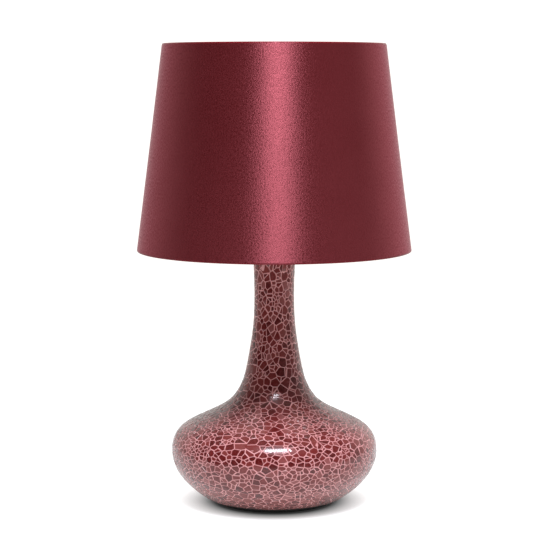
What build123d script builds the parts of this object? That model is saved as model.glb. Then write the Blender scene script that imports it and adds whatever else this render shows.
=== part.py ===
from build123d import *
import math
import os

# Table lamp with a flat-bellied, long-necked glass vessel under a skin of crackled glass
# mosaic, and a tapered satin shade. A threaded tube runs up through the vessel and clamps the
# base plate, the glass and the neck cap together. The screw lampholder on top has a turn
# switch and an outside thread, where a ring holds the shade's fitter down on a shoulder.
# Millimetres. +Z is up, the origin is on the table under the lamp's axis, and -Y is the front.

os.makedirs("parts", exist_ok=True)

# ---- clearances --------------------------------------------------------------------------
glue_line = 0.15  # between laminated layers
slip = 0.1  # between parts that only pass each other
running = 0.08  # radial, shaft in its bore

# ---- foot --------------------------------------------------------------------------------
felt_thickness = 3.0
felt_inset = 1.2
plate_thickness = 1.0
plate_radius = 46.0
skirt_clear = 0.5  # the steel skirt stays this far off the table
gasket_thickness = 1.8
gasket_width = 7.0
dish_radius = 15.5
dish_rise = 9.0
channel_width = 7.0
channel_ceiling = 4.7

# ---- vessel ------------------------------------------------------------------------------
foot_radius = 54.9
foot_lip = 1.1  # the vessel's edge hangs down past its seat, over the plate
foot_gap = 1.0  # radial, between the plate and that edge
belly_radius = 81.2
belly_rise = 35.7  # from the vessel's seat up to the widest circle
waist_radius = 15.7
waist_rise = 118.5  # from the widest circle up to the narrowest
lip_radius = 17.4
lip_rise = 48.0  # from the narrowest circle up to the glass lip
mosaic_thickness = 1.3
glass_thickness = 3.0
foot_hole_radius = 39.0
# (share of the rise, share of the way out from the smaller radius to the larger)
lower_belly = [(0.253, 0.467), (0.52, 0.79)]
shoulder = [
    (0.121, 0.932), (0.186, 0.771), (0.26, 0.497), (0.338, 0.283),
    (0.453, 0.15), (0.62, 0.073), (0.831, 0.015),
]

# ---- threaded tube and its hardware ------------------------------------------------------
rod_radius = 4.85
rod_bore = 3.2
nut_flats = 14.0
nut_height = 4.5
washer_radius = 10.0
washer_thickness = 1.2
rod_below_nut = 1.6
neck_seat_thickness = 1.2
cap_thickness = 1.2
cap_skirt = 9.0
cap_clearance = 0.9

# ---- lampholder --------------------------------------------------------------------------
hub_radius = 10.5
hub_height = 8.0
bushing_radius = 7.5
holder_radius = 18.5
holder_wall = 1.8
holder_cap_height = 21.0
shoulder_radius = 21.5
shoulder_height = 4.0
floor_thickness = 3.0
ledge_height = 4.0
ledge_bore = 9.3
holder_height = 32.0  # lampholder body, from the bottom of its shoulder to its rim
outer_thread_pitch = 3.0
outer_thread_depth = 1.0
shell_wall = 0.5
edison_pitch = 3.629
edison_depth = 1.1
edison_play = 0.2  # radial, between the bulb's thread and the shell's

# ---- turn switch -------------------------------------------------------------------------
spindle_radius = 2.0
spindle_drop = 7.0  # spindle axis below the shoulder
cheek_thickness = 2.0
cheek_gap = 13.0
cheek_width = 12.0
cam_radius = 4.4
knob_length = 11.0
knob_radius = 8.0
knob_thickness = 5.0

# ---- lamp bulb, tubular -----------------------------------------------------------------
bulb_cap_core = 12.05
bulb_cap_wall = 0.4
bulb_cap_height = 21.5
bulb_insulator_height = 5.5
bulb_tip_radius = 4.5
bulb_tip_height = 1.2
bulb_radius = 16.0
bulb_length = 104.0
bulb_glass_thickness = 0.8
filament_length = 38.0
filament_radius = 0.9
filament_circle = 6.0
filament_count = 4

# ---- shade -------------------------------------------------------------------------------
shade_bottom_radius = 107.5
shade_top_radius = 86.8
shade_height = 160.8
overall_height = 360.0
fabric_thickness = 0.5
liner_thickness = 0.4
shade_wire = 1.25
hem_height = 9.0
hem_wall = 1.2
hem_round = 0.8
seam_width = 9.0
seam_thickness = 0.25
seam_glue = 0.05
seam_margin = 2.6
arm_wire = 1.5
arm_count = 3
arm_first = 90.0  # degrees from +X
arm_bend = 8.0
arm_weld = 0.1
fitter_bore = 20.0
fitter_radius = 26.0
fitter_thickness = 1.2
ring_height = 8.0
ring_radius = 24.0
ring_grooves = 24
groove_radius = 0.6

# ---- places that follow from the sizes ---------------------------------------------------
plate_bottom = felt_thickness
plate_top = plate_bottom + plate_thickness
glass_foot = plate_top + gasket_thickness
foot_edge = glass_foot - foot_lip
foot_seat_radius = plate_radius + foot_gap
dish_top = plate_top + dish_rise
belly_z = glass_foot + belly_rise
waist_z = belly_z + waist_rise
lip_z = waist_z + lip_rise
glass_depth = mosaic_thickness + glue_line
rod_bottom = dish_top - plate_thickness - 2 * washer_thickness - nut_height - rod_below_nut
seat_top = lip_z + neck_seat_thickness
cap_top = seat_top + cap_thickness
neck_nut_top = cap_top + nut_height
holder_bottom = neck_nut_top + slip
shoulder_z = holder_bottom + holder_cap_height
seat_z = shoulder_z + shoulder_height  # the fitter rests here
holder_rim = shoulder_z + holder_height
floor_top = shoulder_z + floor_thickness
ledge_top = floor_top + ledge_height
cavity_radius = holder_radius - holder_wall
spindle_z = shoulder_z - spindle_drop
bulb_cap_crest = bulb_cap_core + edison_depth
shell_bore = bulb_cap_crest + edison_play
shell_crest = bulb_cap_core + edison_play
thread_root = fitter_bore - outer_thread_depth - 0.7
thread_crest = thread_root + outer_thread_depth
ring_bottom = seat_z + fitter_thickness + slip
bulb_tip = floor_top + 2.0
bulb_cap_bottom = bulb_tip + bulb_insulator_height
bulb_cap_top = bulb_cap_bottom + bulb_cap_height
bulb_top = bulb_tip + bulb_length
shade_top = overall_height
shade_bottom = shade_top - shade_height
laminate = fabric_thickness + glue_line + liner_thickness


def write(part, name):
    """Labels a finished piece and writes it as its own STEP file."""
    part.label = name
    export_step(part, f"parts/{name}.step")


def washer(inner, outer, bottom, height):
    """A flat ring about the lamp's axis."""
    with BuildPart() as ring:
        with BuildSketch(Plane.XY.offset(bottom)):
            Circle(outer)
            Circle(inner, mode=Mode.SUBTRACT)
        extrude(amount=height)
    return ring.part


def hex_nut(bottom, height):
    """A plain hexagon nut on the threaded tube, with its top corners taken off."""
    with BuildPart() as nut:
        with BuildSketch(Plane.XY.offset(bottom)):
            RegularPolygon(radius=nut_flats / 2, side_count=6, major_radius=False)
            Circle(rod_radius + slip, mode=Mode.SUBTRACT)
        extrude(amount=height)
        chamfer(nut.faces().sort_by(Axis.Z)[-1].outer_wire().edges(), length=0.5)
    return nut.part


def turned(points):
    """A solid of revolution about Z from a closed outline of (radius, height) points."""
    with BuildPart() as body:
        with BuildSketch(Plane.XZ):
            with BuildLine():
                Polyline(*points, close=True)
            make_face()
        revolve(axis=Axis.Z)
    return body.part


def thread(root, crest, pitch, start, turns, sink=0.25):
    """A rounded helical ridge from the root radius to the crest, sunk a little into its wall.
    It points inwards when the crest is smaller than the root. Right-handed."""
    rise = crest - root
    into_wall = -math.copysign(sink, rise)
    half = 0.26 * pitch
    with BuildPart() as ridge:
        with BuildLine() as path:
            line = Helix(pitch=pitch, height=turns * pitch, radius=root, center=(0, 0, start))
        with BuildSketch(Plane(origin=line @ 0, x_dir=(1, 0, 0), z_dir=line % 0)):
            with BuildLine():
                Spline((into_wall, -half), (0.6 * rise, -0.55 * half), (rise, 0),
                       (0.6 * rise, 0.55 * half), (into_wall, half))
                Line((into_wall, half), (into_wall, -half))
            make_face()
        sweep(path=path.wires()[0], is_frenet=True)
    return ridge.part


# ---- vessel: mosaic skin over blown glass -------------------------------------------------
def outline_points():
    """The outside of the mosaic from the foot to the lip, as (radius, height)."""
    points = [(foot_radius, foot_edge)]
    for up, out in lower_belly:
        points.append((foot_radius + out * (belly_radius - foot_radius), foot_edge + up * (belly_z - foot_edge)))
    points.append((belly_radius, belly_z))
    for up, out in shoulder:
        points.append((waist_radius + out * (belly_radius - waist_radius), belly_z + up * waist_rise))
    points.append((waist_radius, waist_z))
    points.append((lip_radius, lip_z))
    return points


outline = Spline(*outline_points())


def wall_points(depth, samples=30):
    """Points of the vessel's outline moved inwards by depth, foot first."""
    points = []
    for i in range(samples + 1):
        place = outline @ (i / samples)
        along = outline % (i / samples)
        points.append((place.X - depth * along.Y, place.Y + depth * along.X))
    points[-1] = (points[-1][0], lip_z)
    return points


skin_inside = wall_points(mosaic_thickness)
with BuildPart() as mosaic_skin:
    with BuildSketch(Plane.XZ):
        with BuildLine():
            Spline(*outline_points())
            Line((lip_radius, lip_z), skin_inside[-1])
            Spline(*skin_inside)
            Polyline(skin_inside[0], (skin_inside[0][0], foot_edge), (foot_radius, foot_edge))
        make_face()
    revolve(axis=Axis.Z)
write(mosaic_skin.part, "mosaic_skin")

glass_outside = wall_points(glass_depth)
glass_inside = wall_points(glass_depth + glass_thickness)
with BuildPart() as glass_vessel:
    with BuildSketch(Plane.XZ):
        with BuildLine():
            Spline(*glass_outside)
            Line(glass_outside[-1], glass_inside[-1])
            Spline(*glass_inside)
            Polyline(
                glass_inside[0],
                (foot_hole_radius, glass_inside[0][1]),
                (foot_hole_radius, glass_foot),
                (foot_seat_radius, glass_foot),
                (foot_seat_radius, foot_edge),
                (glass_outside[0][0], foot_edge),
                glass_outside[0],
            )
        make_face()
    revolve(axis=Axis.Z)
write(glass_vessel.part, "glass_vessel")

# ---- foot: pressed steel plate with a raised dish and a cord channel to the back -------------
dish_wall_run = 2.5
channel_outer = channel_width + 2 * plate_thickness
with BuildPart() as base_plate:
    with BuildSketch(Plane.XZ):
        with BuildLine():
            Polyline(
                (plate_radius, skirt_clear),
                (plate_radius, plate_top),
                (dish_radius + plate_thickness, plate_top),
                (dish_radius + plate_thickness - dish_wall_run, dish_top),
                (rod_radius + slip, dish_top),
                (rod_radius + slip, dish_top - plate_thickness),
                (dish_radius - dish_wall_run, dish_top - plate_thickness),
                (dish_radius, plate_bottom),
                (plate_radius - plate_thickness, plate_bottom),
                (plate_radius - plate_thickness, skirt_clear),
                close=True,
            )
        make_face()
    revolve(axis=Axis.Z)
    fillet(base_plate.edges().filter_by(GeomType.CIRCLE).group_by(SortBy.RADIUS)[-1].sort_by(Axis.Z)[-1], 0.6)
    with BuildSketch(Plane.XY.offset(plate_bottom)):
        with Locations((0, (dish_radius + plate_radius) / 2 + plate_thickness / 2)):
            Rectangle(channel_outer, plate_radius - dish_radius - plate_thickness)
    extrude(amount=channel_ceiling + plate_thickness - plate_bottom)
    with BuildSketch(Plane.XY):
        with Locations((0, (dish_radius + plate_radius) / 2)):
            Rectangle(channel_width, plate_radius - dish_radius + 3 * plate_thickness)
    extrude(amount=channel_ceiling, mode=Mode.SUBTRACT)
    split(bisect_by=Plane.XY.offset(skirt_clear), keep=Keep.TOP)
with BuildPart(mode=Mode.PRIVATE) as plate_trim:
    Cylinder(plate_radius, dish_top, align=(Align.CENTER, Align.CENTER, Align.MIN))
write(base_plate.part & plate_trim.part, "base_plate")

with BuildPart() as felt_pad:
    with BuildSketch():
        Circle(plate_radius - plate_thickness - felt_inset)
        Circle(dish_radius, mode=Mode.SUBTRACT)
        with Locations((0, plate_radius / 2)):
            Rectangle(channel_width, plate_radius, mode=Mode.SUBTRACT)
    extrude(amount=felt_thickness)
    chamfer(felt_pad.edges().filter_by(GeomType.CIRCLE).group_by(Axis.Z)[0], length=0.4)
write(felt_pad.part, "felt_pad")

with BuildPart() as foot_gasket:
    with BuildSketch(Plane.XY.offset(plate_top)):
        Circle(plate_radius - plate_thickness)
        Circle(plate_radius - plate_thickness - gasket_width, mode=Mode.SUBTRACT)
        with Locations((0, plate_radius / 2)):
            Rectangle(channel_outer + 2 * slip, plate_radius, mode=Mode.SUBTRACT)
    extrude(amount=gasket_thickness)
write(foot_gasket.part, "foot_gasket")

# ---- threaded tube, nuts and washers --------------------------------------------------------
rod_top = holder_bottom + hub_height
with BuildPart() as threaded_tube:
    with BuildSketch(Plane.XY.offset(rod_bottom)):
        Circle(rod_radius)
        Circle(rod_bore, mode=Mode.SUBTRACT)
    extrude(amount=rod_top - rod_bottom)
    rims = threaded_tube.edges().filter_by(GeomType.CIRCLE)
    chamfer(rims.group_by(SortBy.RADIUS)[-1], length=0.5)
write(threaded_tube.part, "threaded_tube")

flat_washer_z = dish_top - plate_thickness - washer_thickness
write(washer(rod_radius + slip, washer_radius, flat_washer_z, washer_thickness), "foot_washer")

with BuildPart() as lock_washer:
    with BuildSketch(Plane.XY.offset(flat_washer_z - washer_thickness)):
        Circle(rod_radius + 3.2)
        Circle(rod_radius + slip, mode=Mode.SUBTRACT)
        with Locations((rod_radius + 2, 0)):
            Rectangle(4.5, 1.0, rotation=25, mode=Mode.SUBTRACT)
    extrude(amount=washer_thickness)
write(lock_washer.part, "foot_lock_washer")
write(hex_nut(flat_washer_z - washer_thickness - nut_height, nut_height), "foot_nut")
write(hex_nut(cap_top, nut_height), "neck_nut")

# ---- neck: rubber seat and pressed cap -------------------------------------------------------
cap_bore = lip_radius + cap_clearance
write(washer(rod_radius + 2.0, lip_radius - slip, lip_z, neck_seat_thickness), "neck_seat")
with BuildPart() as neck_cap:
    with BuildSketch(Plane.XZ):
        with BuildLine():
            Polyline(
                (rod_radius + slip, seat_top),
                (cap_bore, seat_top),
                (cap_bore, seat_top - cap_skirt),
                (cap_bore + cap_thickness, seat_top - cap_skirt),
                (cap_bore + cap_thickness, cap_top),
                (rod_radius + slip, cap_top),
                close=True,
            )
        make_face()
    revolve(axis=Axis.Z)
    rims = neck_cap.edges().filter_by(GeomType.CIRCLE)
    fillet(rims.group_by(SortBy.RADIUS)[-1].sort_by(Axis.Z)[-1], 1.0)
write(neck_cap.part, "neck_cap")

# ---- lampholder: cap, body, shell, contacts -------------------------------------------------
set_screw_z = holder_bottom + hub_height / 2
set_screw_radius = 1.5
hub_wall = hub_radius - bushing_radius
with BuildPart() as hub_bushing:
    with BuildSketch(Plane.XY.offset(holder_bottom)):
        Circle(bushing_radius)
        Circle(rod_radius + slip, mode=Mode.SUBTRACT)
    extrude(amount=hub_height)
    with BuildSketch(Plane.XZ.offset(-bushing_radius - 1)):
        with Locations((0, set_screw_z)):
            Circle(set_screw_radius + slip)
    extrude(amount=bushing_radius - rod_radius + 1.5, mode=Mode.SUBTRACT)
write(hub_bushing.part, "hub_bushing")

flare = holder_radius - hub_radius
with BuildPart() as holder_cap:
    with BuildSketch(Plane.XZ):
        with BuildLine():
            Polyline(
                (bushing_radius + slip, holder_bottom),
                (hub_radius, holder_bottom),
                (hub_radius + 0.4 * flare, holder_bottom + 1.5),
                (holder_radius, holder_bottom + hub_height),
                (holder_radius, shoulder_z),
                (cavity_radius, shoulder_z),
                (cavity_radius, holder_bottom + hub_height + holder_wall),
                (bushing_radius + slip, holder_bottom + hub_height),
                close=True,
            )
        make_face()
    revolve(axis=Axis.Z)
    with BuildSketch(Plane.XZ.offset(-holder_radius)):
        with Locations((0, set_screw_z)):
            Circle(set_screw_radius + slip)
    extrude(amount=holder_radius - bushing_radius + 1, mode=Mode.SUBTRACT)
    with BuildSketch(Plane.YZ.offset(cavity_radius - 1)):
        with Locations((0, spindle_z)):
            Circle(spindle_radius + running)
    extrude(amount=holder_wall + 2, mode=Mode.SUBTRACT)
write(holder_cap.part, "holder_cap")

with BuildPart() as set_screw:
    with BuildSketch(Plane.XZ.offset(-holder_radius + 5)):
        with Locations((0, set_screw_z)):
            Circle(set_screw_radius)
    extrude(amount=holder_radius - 5 - rod_radius - slip)
    with BuildSketch(Plane.XZ.offset(-holder_radius + 5)):
        with Locations((0, set_screw_z)):
            Rectangle(2 * set_screw_radius, 0.5)
    extrude(amount=0.8, mode=Mode.SUBTRACT)
write(set_screw.part, "set_screw")

hot_y = -7.0
neutral_y = 11.6
screw_radius = 1.5
holder_thread_start = ring_bottom + 1.4 - outer_thread_pitch / 2
holder_thread_turns = (holder_rim - 2.0 - holder_thread_start) / outer_thread_pitch
with BuildPart() as holder_body:
    with BuildSketch(Plane.XZ):
        with BuildLine():
            Polyline(
                (0, shoulder_z),
                (shoulder_radius, shoulder_z),
                (shoulder_radius, seat_z),
                (thread_root, seat_z),
                (thread_root, holder_rim),
                (shell_bore + shell_wall + slip, holder_rim),
                (shell_bore + shell_wall + slip, ledge_top),
                (ledge_bore, ledge_top),
                (ledge_bore, floor_top),
                (0, floor_top),
                close=True,
            )
        make_face()
    revolve(axis=Axis.Z)
    add(thread(thread_root, thread_crest, outer_thread_pitch, holder_thread_start, holder_thread_turns))
    with BuildSketch(Plane.XY.offset(shoulder_z)):
        with Locations((0, hot_y), (0, neutral_y), (0, -neutral_y)):
            Circle(screw_radius + slip)
    extrude(amount=ledge_top - shoulder_z, mode=Mode.SUBTRACT)
write(holder_body.part, "holder_body")

shell_bottom = ledge_top
shell_height = holder_rim - 1.0 - shell_bottom
bulb_thread_start = bulb_cap_bottom + 2.6
bulb_thread_turns = 4.2
shell_thread_start = bulb_thread_start - edison_pitch / 2
shell_thread_turns = (holder_rim - 2.4 - shell_thread_start) / edison_pitch
with BuildPart() as screw_shell:
    with BuildSketch(Plane.XZ):
        with BuildLine():
            Polyline(
                (ledge_bore + 0.6, shell_bottom),
                (shell_bore + shell_wall, shell_bottom),
                (shell_bore + shell_wall, shell_bottom + shell_height),
                (shell_bore, shell_bottom + shell_height),
                (shell_bore, shell_bottom + shell_wall),
                (ledge_bore + 0.6, shell_bottom + shell_wall),
                close=True,
            )
        make_face()
    revolve(axis=Axis.Z)
    add(thread(shell_bore, shell_crest, edison_pitch, shell_thread_start, shell_thread_turns))
    with BuildSketch(Plane.XY.offset(shell_bottom)):
        with Locations((0, neutral_y), (0, -neutral_y)):
            Circle(screw_radius + slip)
    extrude(amount=shell_wall, mode=Mode.SUBTRACT)
write(screw_shell.part, "screw_shell")

leaf_thickness = 0.4
leaf_width = 5.0
leaf_tip = bulb_tip - slip
with BuildPart() as centre_contact:
    with BuildSketch(Plane.YZ.offset(-leaf_width / 2)):
        with BuildLine():
            Polyline(
                (hot_y - 1.7, floor_top),
                (hot_y + 2.5, floor_top),
                (-1.5, leaf_tip - leaf_thickness),
                (1.5, leaf_tip - leaf_thickness),
                (4.5, floor_top + 0.6),
                (4.5, floor_top + 0.6 + leaf_thickness),
                (1.6, leaf_tip),
                (-1.6, leaf_tip),
                (hot_y + 2.4, floor_top + leaf_thickness),
                (hot_y - 1.7, floor_top + leaf_thickness),
                close=True,
            )
        make_face()
    extrude(amount=leaf_width)
    with BuildSketch(Plane.XY.offset(floor_top)):
        with Locations((0, hot_y)):
            Circle(screw_radius + slip)
    extrude(amount=leaf_thickness, mode=Mode.SUBTRACT)
write(centre_contact.part, "centre_contact")


def terminal_screw(y, top):
    """A pan-head screw driven up through the lampholder's floor from below."""
    head_radius = 2.4
    head_height = 1.6
    head_z = shoulder_z - 2.0
    with BuildPart() as screw:
        with BuildSketch(Plane.XY.offset(head_z - head_height)):
            with Locations((0, y)):
                Circle(head_radius)
        extrude(amount=head_height)
        with BuildSketch(Plane.XY.offset(head_z)):
            with Locations((0, y)):
                Circle(screw_radius)
        extrude(amount=top - head_z)
        with BuildSketch(Plane.XY.offset(head_z - head_height)):
            with Locations((0, y)):
                Rectangle(2 * head_radius, 0.6)
        extrude(amount=0.7, mode=Mode.SUBTRACT)
    return screw.part


write(terminal_screw(hot_y, floor_top + leaf_thickness + 0.4), "terminal_screw_line")
write(terminal_screw(neutral_y, ledge_top + shell_wall + 0.4), "terminal_screw_neutral")
with BuildPart() as shell_rivet:
    with BuildSketch(Plane.XY.offset(shoulder_z - 0.8)):
        with Locations((0, -neutral_y)):
            Circle(screw_radius + 0.9)
    extrude(amount=0.8)
    with BuildSketch(Plane.XY.offset(shoulder_z)):
        with Locations((0, -neutral_y)):
            Circle(screw_radius)
    extrude(amount=ledge_top + shell_wall + 0.5 - shoulder_z)
write(shell_rivet.part, "shell_rivet")

# ---- turn switch: frame and blade stand still, cam, spindle and knob turn --------------------
cheek_drop = spindle_drop + 4.0
with BuildPart() as switch_cheeks:
    with BuildSketch(Plane.XY.offset(shoulder_z - cheek_drop)):
        with Locations((-(cheek_gap + cheek_thickness) / 2, 0), ((cheek_gap + cheek_thickness) / 2, 0)):
            Rectangle(cheek_thickness, cheek_width)
    extrude(amount=cheek_drop)
    with BuildSketch(Plane.YZ.offset(-cheek_gap)):
        with Locations((0, spindle_z)):
            Circle(spindle_radius + running)
    extrude(amount=2 * cheek_gap, mode=Mode.SUBTRACT)
write(switch_cheeks.part, "switch_cheeks")

blade_thickness = 0.4
blade_clear = 0.3
blade_low = spindle_z + cam_radius + blade_clear
blade_top = shoulder_z - 0.6
with BuildPart() as switch_blade:
    with BuildSketch(Plane.YZ.offset(-leaf_width / 2)):
        with BuildLine():
            Polyline(
                (hot_y - 2.2, blade_top),
                (hot_y + 2.6, blade_top),
                (-1.4, blade_low + blade_thickness),
                (2.5, blade_low + blade_thickness),
                (2.5, blade_low),
                (-1.6, blade_low),
                (hot_y + 2.4, blade_top - blade_thickness),
                (hot_y - 2.2, blade_top - blade_thickness),
                close=True,
            )
        make_face()
    extrude(amount=leaf_width)
    with BuildSketch(Plane.XY.offset(blade_top - blade_thickness)):
        with Locations((0, hot_y)):
            Circle(screw_radius + slip)
    extrude(amount=blade_thickness, mode=Mode.SUBTRACT)
write(switch_blade.part, "switch_blade")

knob_start = shoulder_radius + 1.8
with BuildPart() as switch_spindle:
    with BuildSketch(Plane.YZ.offset(-cheek_gap / 2 - cheek_thickness - 1.0)):
        with Locations((0, spindle_z)):
            Circle(spindle_radius)
    extrude(amount=cheek_gap / 2 + cheek_thickness + 1.0 + knob_start + 0.8 * knob_length)
write(switch_spindle.part, "switch_spindle")

with BuildPart() as switch_cam:
    with BuildSketch(Plane.YZ.offset(-cheek_gap / 2 + 1.0)):
        with Locations((0, spindle_z)):
            Circle(cam_radius)
            with PolarLocations(cam_radius, 4, start_angle=45):
                Circle(1.5, mode=Mode.SUBTRACT)
            Circle(spindle_radius, mode=Mode.SUBTRACT)
    extrude(amount=cheek_gap - 2.0)
write(switch_cam.part, "switch_cam")

with BuildPart() as switch_knob:
    with BuildSketch(Plane.YZ.offset(knob_start)):
        with Locations((0, spindle_z)):
            Circle(knob_thickness / 2 + 1.5)
    extrude(amount=0.35 * knob_length)
    with BuildSketch(Plane.YZ.offset(knob_start + 0.25 * knob_length)):
        with Locations((0, spindle_z)):
            SlotOverall(2 * knob_radius, knob_thickness)
    extrude(amount=0.75 * knob_length)
    fillet(switch_knob.faces().sort_by(Axis.X)[-1].edges(), 1.2)
    with BuildSketch(Plane.YZ.offset(knob_start)):
        with Locations((0, spindle_z)):
            Circle(spindle_radius)
    extrude(amount=0.8 * knob_length, mode=Mode.SUBTRACT)
write(switch_knob.part, "switch_knob")

# ---- bulb -----------------------------------------------------------------------------------
with BuildPart() as bulb_contact:
    with BuildSketch(Plane.XY.offset(bulb_tip)):
        Circle(bulb_tip_radius)
    extrude(amount=bulb_tip_height)
    chamfer(bulb_contact.edges().sort_by(Axis.Z)[0], length=0.5)
write(bulb_contact.part, "bulb_contact")

insulator_small = bulb_tip_radius + 1.5
insulator_large = bulb_cap_core - bulb_cap_wall - 1.8
insulator_bottom = bulb_tip + 0.7
write(
    turned([
        (bulb_tip_radius + slip, insulator_bottom),
        (insulator_small, insulator_bottom),
        (insulator_large, bulb_cap_bottom),
        (insulator_large, bulb_cap_bottom + 1.2),
        (0, bulb_cap_bottom + 1.2),
        (0, bulb_tip + bulb_tip_height + slip),
        (bulb_tip_radius + slip, bulb_tip + bulb_tip_height + slip),
    ]),
    "bulb_insulator",
)

with BuildPart() as bulb_cap:
    with BuildSketch(Plane.XZ):
        with BuildLine():
            Polyline(
                (insulator_large + 0.05, bulb_cap_bottom),
                (bulb_cap_core - 1.0, bulb_cap_bottom),
                (bulb_cap_core, bulb_cap_bottom + 1.2),
                (bulb_cap_core, bulb_cap_top - 2.5),
                (bulb_cap_core + 0.7, bulb_cap_top - 1.5),
                (bulb_cap_core + 0.7, bulb_cap_top),
                (bulb_cap_core + 0.7 - bulb_cap_wall, bulb_cap_top),
                (bulb_cap_core + 0.7 - bulb_cap_wall, bulb_cap_top - 1.3),
                (bulb_cap_core - bulb_cap_wall, bulb_cap_top - 2.3),
                (bulb_cap_core - bulb_cap_wall, bulb_cap_bottom + 1.4),
                (bulb_cap_core - 1.2, bulb_cap_bottom + bulb_cap_wall),
                (insulator_large + 0.05, bulb_cap_bottom + bulb_cap_wall),
                close=True,
            )
        make_face()
    revolve(axis=Axis.Z)
    add(thread(bulb_cap_core, bulb_cap_crest, edison_pitch, bulb_thread_start, bulb_thread_turns))
write(bulb_cap.part, "bulb_cap")

neck_radius = bulb_cap_core - bulb_cap_wall - glue_line
neck_bottom = bulb_cap_top - 9.0
tube_start = bulb_cap_top + 17.0
tube_end = bulb_top - bulb_radius
with BuildPart() as bulb_glass:
    with BuildSketch(Plane.XZ):
        with BuildLine() as envelope:
            wall = Line((neck_radius, neck_bottom), (neck_radius, bulb_cap_top + 1.0))
            flare_up = Spline(
                wall @ 1, (bulb_radius, tube_start), tangents=[(0, 1), (0, 1)]
            )
            tube = Line(flare_up @ 1, (bulb_radius, tube_end))
            RadiusArc(tube @ 1, (0, bulb_top), -bulb_radius)
            inner = neck_radius - bulb_glass_thickness
            Polyline(wall @ 0, (inner, neck_bottom), (inner, bulb_cap_top + 1.0))
            inner_flare = Spline(
                (inner, bulb_cap_top + 1.0),
                (bulb_radius - bulb_glass_thickness, tube_start),
                tangents=[(0, 1), (0, 1)],
            )
            inner_tube = Line(inner_flare @ 1, (bulb_radius - bulb_glass_thickness, tube_end))
            RadiusArc(inner_tube @ 1, (0, bulb_top - bulb_glass_thickness),
                      -(bulb_radius - bulb_glass_thickness))
            Line((0, bulb_top - bulb_glass_thickness), (0, bulb_top))
        make_face()
    revolve(axis=Axis.Z)
write(bulb_glass.part, "bulb_glass")

stem_base = neck_bottom + 0.5
stem_pinch = tube_start - 6.0
filament_bottom = tube_start + 2.0
filament_top = filament_bottom + filament_length
post_top = filament_bottom + 0.35 * filament_length
write(
    turned([
        (0, stem_base + 8.0),
        (2.6, stem_base + 7.0),
        (inner - 0.15, stem_base),
        (inner - 0.15, stem_base + 1.0),
        (4.0, stem_base + 8.5),
        (3.4, stem_pinch - 2.0),
        (1.3, stem_pinch),
        (1.3, post_top),
        (0, post_top),
    ]),
    "bulb_stem",
)

with BuildPart() as bulb_filaments:
    with BuildSketch(Plane.XY.offset(filament_bottom)):
        with PolarLocations(filament_circle, filament_count):
            Circle(filament_radius)
    extrude(amount=filament_length)
write(bulb_filaments.part, "bulb_filaments")

wire_radius = 0.35
collar_height = 0.9
with BuildPart() as filament_wires:
    for level in (filament_bottom - collar_height, filament_top):
        with BuildSketch(Plane.XY.offset(level)):
            Circle(filament_circle + 0.6)
            Circle(filament_circle - 0.6, mode=Mode.SUBTRACT)
        extrude(amount=collar_height)
    with BuildSketch(Plane.XY.offset(stem_pinch - 2.0)):
        with Locations((filament_circle, 0), (-filament_circle, 0)):
            Circle(wire_radius)
    extrude(amount=filament_bottom - collar_height - stem_pinch + 2.0)
write(filament_wires.part, "filament_wires")

with BuildPart() as bulb_driver:
    with BuildSketch(Plane.XY.offset(bulb_cap_bottom + 2.2)):
        Rectangle(16.0, 1.2)
    extrude(amount=10.0)
    with BuildSketch(Plane.XZ.offset(0.6)):
        with Locations((-3.0, bulb_cap_bottom + 7.2)):
            Circle(2.6)
        with Locations((4.0, bulb_cap_bottom + 7.0)):
            Rectangle(4.0, 5.0)
    extrude(amount=4.5)
write(bulb_driver.part, "bulb_driver")


# ---- shade ----------------------------------------------------------------------------------
def shade_radius(z):
    """The fabric's outside radius at a height."""
    share = (z - shade_bottom) / shade_height
    return shade_bottom_radius + share * (shade_top_radius - shade_bottom_radius)


def cone_layer(depth, thickness, bottom, top):
    """One conical layer of the laminate, depth in from the fabric's outside."""
    return turned([
        (shade_radius(bottom) - depth, bottom),
        (shade_radius(top) - depth, top),
        (shade_radius(top) - depth - thickness, top),
        (shade_radius(bottom) - depth - thickness, bottom),
    ])


fabric_bottom = shade_bottom + hem_wall
fabric_top = shade_top - hem_wall
liner_margin = fabric_thickness + slip
write(cone_layer(0, fabric_thickness, fabric_bottom, fabric_top), "shade_fabric")
write(
    cone_layer(fabric_thickness + glue_line, liner_thickness,
               shade_bottom + liner_margin, shade_top - liner_margin),
    "shade_liner",
)

seam_angle = math.degrees(seam_width / shade_bottom_radius)
seam_bottom = shade_bottom + seam_margin
seam_top = shade_top - seam_margin
with BuildPart() as shade_seam:
    with BuildSketch(Plane.XZ):
        with BuildLine():
            Polyline(
                (shade_radius(seam_bottom) + seam_glue, seam_bottom),
                (shade_radius(seam_bottom) + seam_glue + seam_thickness, seam_bottom),
                (shade_radius(seam_top) + seam_glue + seam_thickness, seam_top),
                (shade_radius(seam_top) + seam_glue, seam_top),
                close=True,
            )
        make_face()
    revolve(axis=Axis.Z, revolution_arc=seam_angle)
write(shade_seam.part.rotate(Axis.Z, 90 - seam_angle / 2), "shade_seam")


def wire_centre(edge, side):
    """(radius, height) of the edge wire's centre. side is 1 at the bottom edge, -1 at the top."""
    z = edge + side * (fabric_thickness + slip + shade_wire)
    return shade_radius(z) - laminate - slip - shade_wire, z


def wire_ring(edge, side):
    """The steel wire hoop inside an edge of the shade."""
    radius, z = wire_centre(edge, side)
    with BuildPart() as hoop:
        with BuildSketch(Plane.XZ):
            with Locations((radius, z)):
                Circle(shade_wire)
        revolve(axis=Axis.Z)
    return hoop.part


arm_angles = [arm_first + i * 360 / arm_count for i in range(arm_count)]


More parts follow.
